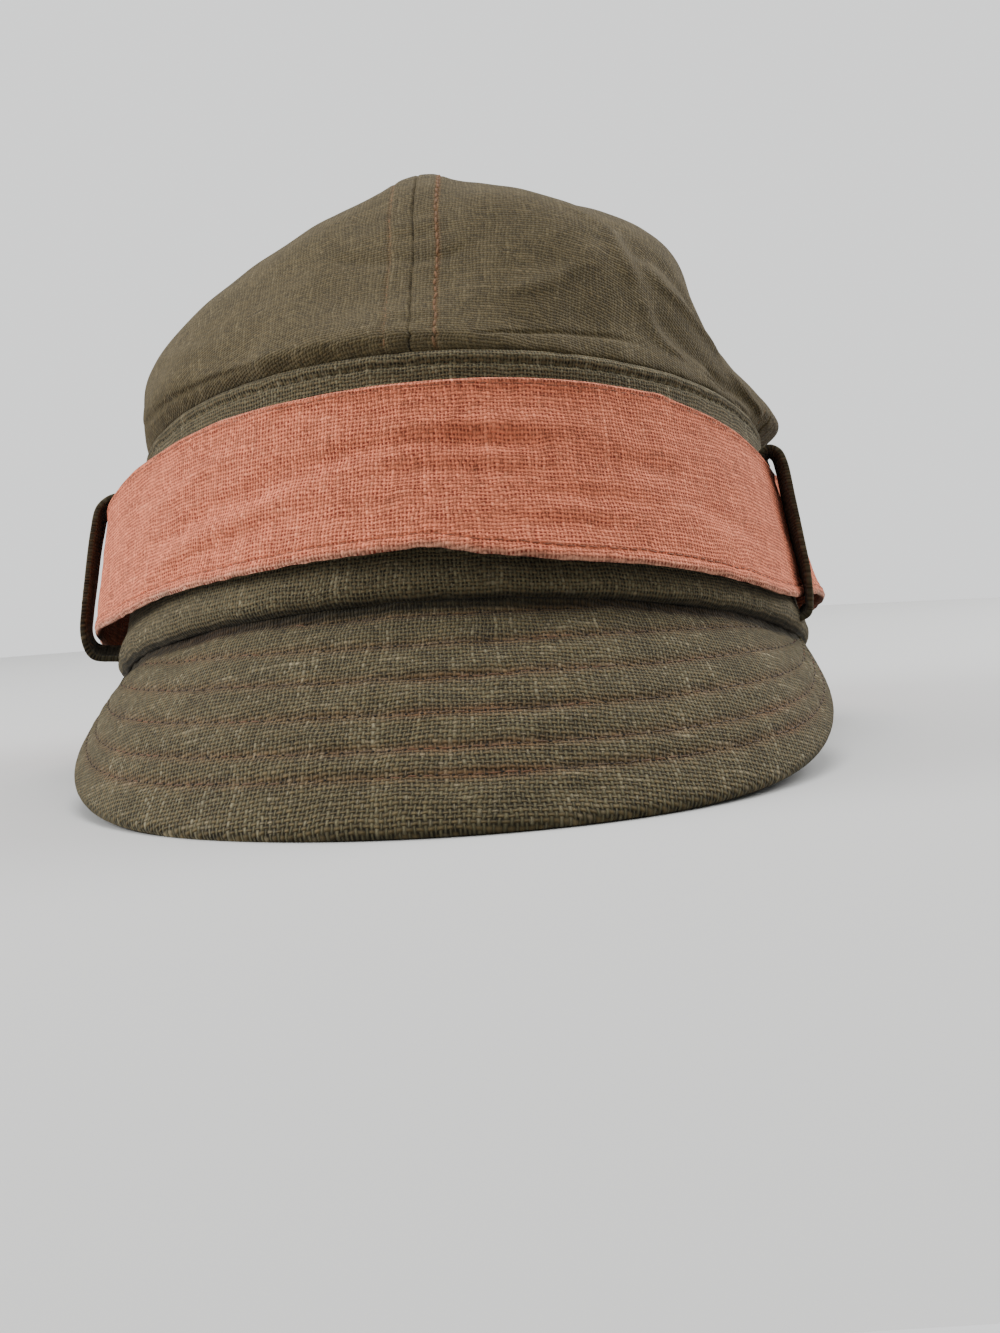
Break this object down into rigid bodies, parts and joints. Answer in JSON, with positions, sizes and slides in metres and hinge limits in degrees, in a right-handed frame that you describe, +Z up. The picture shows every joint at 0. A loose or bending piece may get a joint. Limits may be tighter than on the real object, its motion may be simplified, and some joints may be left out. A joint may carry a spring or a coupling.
{
  "type": "cadet cap",
  "caption": "Soft linen cadet cap with a panelled crown, a leaning headband, a loose contrasting strap through belt loops and a stitched peak, at rest on a surface.",
  "frame": {"origin": "middle of the cap's footprint box, on the surface that the back rim and the peak's edge rest on", "axes": "+Z up, +Y from the peak towards the back of the cap, +X towards the right side of a view from the front"},
  "size_m": [0.1874, 0.2418, 0.1384],
  "materials": {
    "olive_linen": "dull plain-woven linen in brownish olive, sewn with rust-coloured thread",
    "coral_linen": "dull plain-woven linen in faded coral, sewn with rust-coloured thread"
  },
  "bodies": {
    "root": {"crown_front_left": "olive_linen", "crown_front_right": "olive_linen", "crown_back_left": "olive_linen", "crown_back_right": "olive_linen", "headband": "olive_linen", "peak": "olive_linen", "belt_loop_left": "olive_linen", "belt_loop_right": "olive_linen", "strap": "coral_linen"}
  },
  "joints": []
}
